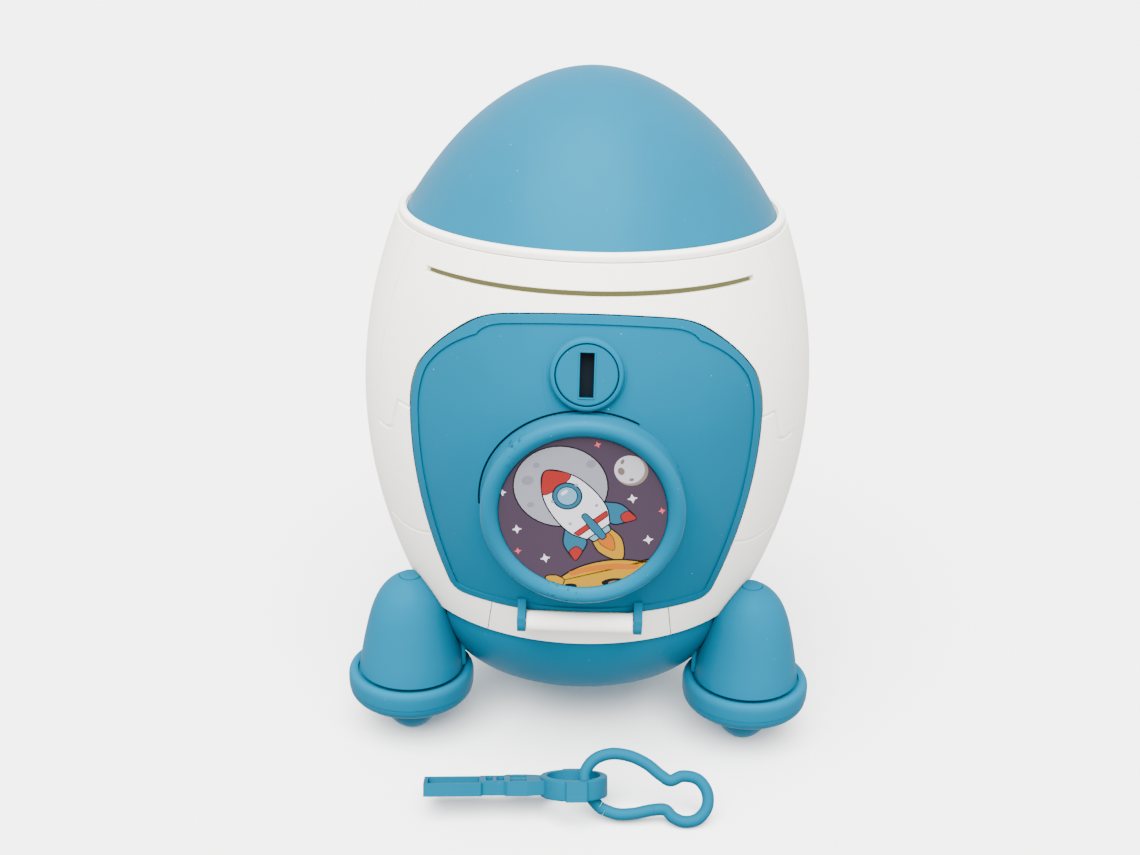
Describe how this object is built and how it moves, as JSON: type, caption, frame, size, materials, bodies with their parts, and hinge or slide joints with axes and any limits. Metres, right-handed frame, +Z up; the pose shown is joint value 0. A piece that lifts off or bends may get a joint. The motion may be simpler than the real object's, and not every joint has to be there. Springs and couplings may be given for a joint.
{
  "type": "rocket money bank",
  "caption": "Rocket-shaped lockable money bank: barrel body on booster pods, nose dome, banknote slot, keyed door with a round porthole, and a key on a carabiner.",
  "frame": {"origin": "on the floor, at the middle of the whole set's footprint: the bank with its key and carabiner lying in front; the bank's own axis is 5 mm behind it", "axes": "+Z up along the bank's axis towards the nose, front with the door facing -Y, +X to the right when looking at the door"},
  "size_m": [0.2568, 0.2958, 0.3626],
  "materials": {
    "white_shell": "satin moulded plastic, warm white",
    "blue_shell": "satin moulded plastic, sky blue",
    "nose_blue": "slightly glossier moulded plastic, light sky blue",
    "base_blue": "satin moulded plastic, sky blue",
    "inner_plastic": "unpolished inner moulding, olive grey",
    "printed_card": "printed picture card, matt lacquer",
    "steel": "zinc-plated steel fastener"
  },
  "bodies": {
    "bank": {"front_shell": "white_shell", "rear_shell": "white_shell", "hinge_apron": "white_shell", "hinge_pin": "steel", "nose_rim": "white_shell", "nose_dome": "nose_blue", "base_bowl": "base_blue", "base_cover": "base_blue", "base_screw_1": "steel", "base_screw_2": "steel", "base_screw_3": "steel", "chamber_floor": "inner_plastic", "booster_cone_left": "blue_shell", "booster_cap_left": "blue_shell", "booster_flange_left": "blue_shell", "booster_foot_left": "blue_shell", "booster_plate_left": "blue_shell", "booster_screw_left": "steel", "booster_cone_right": "blue_shell", "booster_cap_right": "blue_shell", "booster_flange_right": "blue_shell", "booster_foot_right": "blue_shell", "booster_plate_right": "blue_shell", "booster_screw_right": "steel", "booster_cone_rear": "blue_shell", "booster_cap_rear": "blue_shell", "booster_flange_rear": "blue_shell", "booster_foot_rear": "blue_shell", "booster_plate_rear": "blue_shell", "booster_screw_rear": "steel"},
    "door": {"door_panel": "blue_shell", "porthole_ring": "blue_shell", "picture_disc": "printed_card", "lock_backplate": "inner_plastic", "backplate_screw_1": "steel", "backplate_screw_2": "steel"},
    "lock": {"lock_rotor": "blue_shell", "lock_cam": "steel", "cam_screw": "steel"},
    "key": {"key": "blue_shell"},
    "carabiner": {"carabiner_hook": "blue_shell"},
    "arm": {"carabiner_arm": "blue_shell"}
  },
  "joints": [
    {"name": "door_hinge", "type": "hinge", "parent": "bank", "child": "door", "pos_m": [0, -0.103, 0.0975], "axis": [1, 0, 0], "range_deg": [0, 95]},
    {"name": "lock_turn", "type": "hinge", "parent": "door", "child": "lock", "pos_m": [0, -0.11251, 0.2362], "axis": [0, -0.9832, 0.1826], "range_deg": [0, 90]},
    {"name": "key_slide", "type": "slide", "parent": "bank", "child": "key", "axis": [0, -1, 0], "range_m": [0, 0.12]},
    {"name": "carabiner_swing", "type": "hinge", "parent": "key", "child": "carabiner", "pos_m": [0.0153, -0.1284, 0.0156], "axis": [0, -1, 0], "range_deg": [0, 25]},
    {"name": "arm_flex", "type": "hinge", "parent": "carabiner", "child": "arm", "pos_m": [0.0406, -0.13784, 0.00618], "axis": [0, -0.809, 0.5878], "range_deg": [0, 8.5], "stiffness_Nm_per_rad": 0.05}
  ]
}
